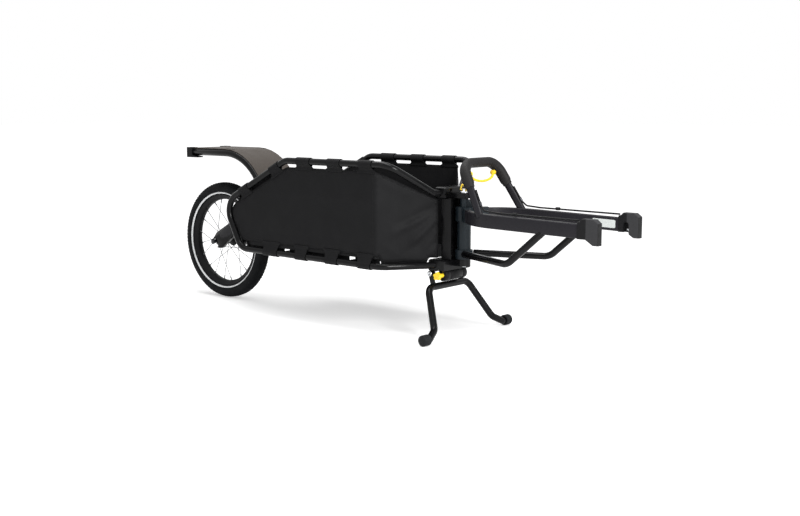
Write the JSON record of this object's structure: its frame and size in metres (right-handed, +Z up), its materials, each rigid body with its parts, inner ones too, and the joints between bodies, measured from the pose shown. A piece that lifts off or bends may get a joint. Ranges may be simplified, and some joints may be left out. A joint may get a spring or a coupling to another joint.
{
  "type": "single wheel touring trailer",
  "caption": "One-wheel cargo trailer for a bicycle: fabric-sided tube frame, sprung rear wheel under a fender, folding kickstand and a steering yoke with latching hitch blocks.",
  "frame": {"origin": "floor point under the middle of the trailer's length and width", "axes": "+X forward, from the wheel to the hitch; +Y to the trailer's left side; +Z up"},
  "size_m": [1.726, 0.43, 0.5205],
  "materials": {
    "frame_paint": "gloss",
    "graphite_paint": "satin",
    "black_plastic": "matte",
    "block_plastic": "matte",
    "tyre_rubber": "matte",
    "tube_rubber": "matte",
    "reflective_tape": "satin",
    "rim_paint": "satin",
    "spoke_steel": "polished",
    "bolt_steel": "polished",
    "dark_steel": "satin",
    "sling_fabric": "woven",
    "fender_plastic": "matte",
    "foot_rubber": "matte",
    "grip_foam": "matte",
    "yellow_plastic": "satin",
    "cable_plastic": "satin",
    "bush_bronze": "satin"
  },
  "bodies": {
    "frame": {"side_hoop_left": "frame_paint", "side_hoop_right": "frame_paint", "floor_cross_tube_front": "frame_paint", "floor_cross_tube_rear": "frame_paint", "rear_cross_tube": "frame_paint", "pivot_tube": "dark_steel", "fender_tube_left": "frame_paint", "fender_tube_right": "frame_paint", "fender_plate": "fender_plastic", "fender_tail": "black_plastic", "sling_side_left": "sling_fabric", "sling_side_right": "sling_fabric", "sling_floor": "sling_fabric", "upper_head_bracket": "graphite_paint", "head_post": "graphite_paint", "lower_head_bracket": "graphite_paint", "kickstand_lock_barrel": "graphite_paint", "kickstand_bolt_left": "bolt_steel", "kickstand_bolt_right": "bolt_steel"},
    "swing_arm": {"swing_arm_left": "frame_paint", "swing_arm_right": "frame_paint", "swing_arm_bridge": "frame_paint", "swing_arm_barrel": "frame_paint", "pivot_bush_left": "bush_bronze", "pivot_bush_right": "bush_bronze", "suspension_spring": "dark_steel", "wheel_axle": "bolt_steel", "axle_nut": "bolt_steel"},
    "wheel": {"tyre": "tyre_rubber", "tyre_stripe_left": "reflective_tape", "tyre_stripe_right": "reflective_tape", "inner_tube": "tube_rubber", "rim": "rim_paint", "spokes_left": "spoke_steel", "spokes_right": "spoke_steel", "hub_shell": "rim_paint", "hub_bearing_left": "bolt_steel", "hub_bearing_right": "bolt_steel"},
    "kickstand": {"kickstand_tube": "frame_paint", "kickstand_foot_left": "foot_rubber", "kickstand_foot_right": "foot_rubber"},
    "kickstand_knob": {"kickstand_knob": "yellow_plastic"},
    "kingpin": {"kingpin": "bolt_steel", "kingpin_loop": "yellow_plastic"},
    "yoke": {"yoke_head": "graphite_paint", "yoke_bush_lower": "bush_bronze", "yoke_bush_upper": "bush_bronze", "yoke_arm_left": "graphite_paint", "yoke_arm_right": "graphite_paint", "lower_brace_left": "frame_paint", "lower_brace_right": "frame_paint", "release_cable_left": "cable_plastic", "release_cable_right": "cable_plastic", "hitch_block_left": "block_plastic", "hitch_block_right": "block_plastic", "handle_tube": "graphite_paint", "handle_grip": "grip_foam"},
    "release_bail": {"release_bail": "yellow_plastic"},
    "hitch_latch_left": {"hitch_latch_left": "bolt_steel"},
    "hitch_latch_right": {"hitch_latch_right": "bolt_steel"}
  },
  "joints": [
    {"name": "swing_arm_pivot", "type": "hinge", "parent": "frame", "child": "swing_arm", "pos_m": [-0.427, 0, 0.33], "axis": [0, 1, 0], "range_deg": [0, 10], "stiffness_Nm_per_rad": 400, "springref_deg": -2.86, "deforming": ["suspension_spring"]},
    {"name": "wheel_spin", "type": "hinge", "parent": "swing_arm", "child": "wheel", "pos_m": [-0.663, 0, 0.2], "axis": [0, 1, 0], "continuous": true},
    {"name": "yoke_steer", "type": "hinge", "parent": "frame", "child": "yoke", "pos_m": [0.358, 0, 0.3], "axis": [0, 0, 1], "range_deg": [-55, 55]},
    {"name": "release_bail_swing", "type": "hinge", "parent": "yoke", "child": "release_bail", "pos_m": [0.4183, 0, 0.473], "axis": [0, 1, 0], "range_deg": [0, 60], "stiffness_Nm_per_rad": 0.15, "springref_deg": -17.19},
    {"name": "hitch_latch_left_slide", "type": "slide", "parent": "yoke", "child": "hitch_latch_left", "axis": [1, 0, 0], "range_m": [0, 0.0075]},
    {"name": "hitch_latch_right_slide", "type": "slide", "parent": "yoke", "child": "hitch_latch_right", "axis": [1, 0, 0], "range_m": [0, 0.0075]},
    {"name": "kickstand_fold", "type": "hinge", "parent": "frame", "child": "kickstand", "pos_m": [0.29, 0, 0.181], "axis": [0, 1, 0], "range_deg": [0, 110]},
    {"name": "kickstand_knob_turn", "type": "hinge", "parent": "frame", "child": "kickstand_knob", "pos_m": [0.318, 0, 0.176], "axis": [0, 1, 0], "range_deg": [0, 270]},
    {"name": "kingpin_lift", "type": "slide", "parent": "frame", "child": "kingpin", "axis": [0, 0, 1], "range_m": [0, 0.23]}
  ],
  "couplings": [
    {"joint": "hitch_latch_left_slide", "follows": "release_bail_swing", "m_per_rad": 0.00716},
    {"joint": "hitch_latch_right_slide", "follows": "release_bail_swing", "m_per_rad": 0.00716}
  ]
}
